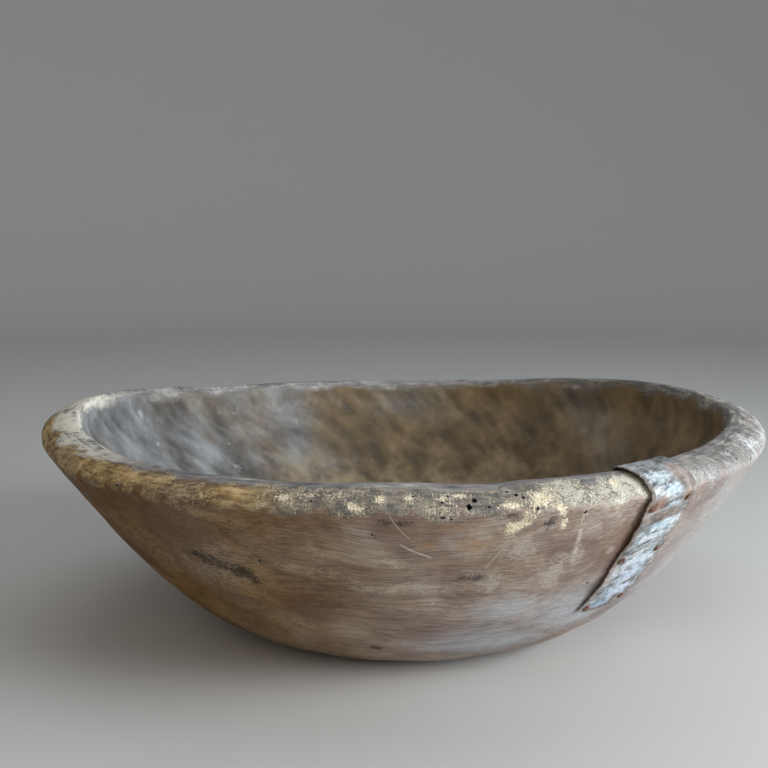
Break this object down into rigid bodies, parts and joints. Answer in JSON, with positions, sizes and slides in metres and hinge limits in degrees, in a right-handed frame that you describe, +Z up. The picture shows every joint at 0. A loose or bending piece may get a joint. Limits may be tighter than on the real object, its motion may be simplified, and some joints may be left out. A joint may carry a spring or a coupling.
{
  "type": "carved wooden bowl",
  "caption": "Wide shallow hand-carved wooden bowl with a thick rounded rim, mended with a sheet-metal strap folded over the rim and nailed.",
  "frame": {"origin": "middle of the flat base, on the surface that the bowl stands on", "axes": "+Z up along the bowl's middle line; +X along the wood's grain, the longer way across; the strap is on the -Y, +X side"},
  "size_m": [0.4892, 0.4684, 0.1505],
  "materials": {
    "weathered_wood": "dry, worn, grey-brown",
    "galvanised_sheet": "dull, crusted white, rust-stained at the nails",
    "rusted_iron": "matt rust"
  },
  "bodies": {
    "root": {"carved_bowl": "weathered_wood", "rim_strap": "galvanised_sheet", "outer_nail_top_left": "rusted_iron", "outer_nail_top_right": "rusted_iron", "outer_nail_middle_left": "rusted_iron", "outer_nail_middle_right": "rusted_iron", "outer_nail_bottom_left": "rusted_iron", "outer_nail_bottom_right": "rusted_iron", "inner_nail_upper_left": "rusted_iron", "inner_nail_upper_right": "rusted_iron", "inner_nail_lower_left": "rusted_iron", "inner_nail_lower_right": "rusted_iron"}
  },
  "joints": []
}
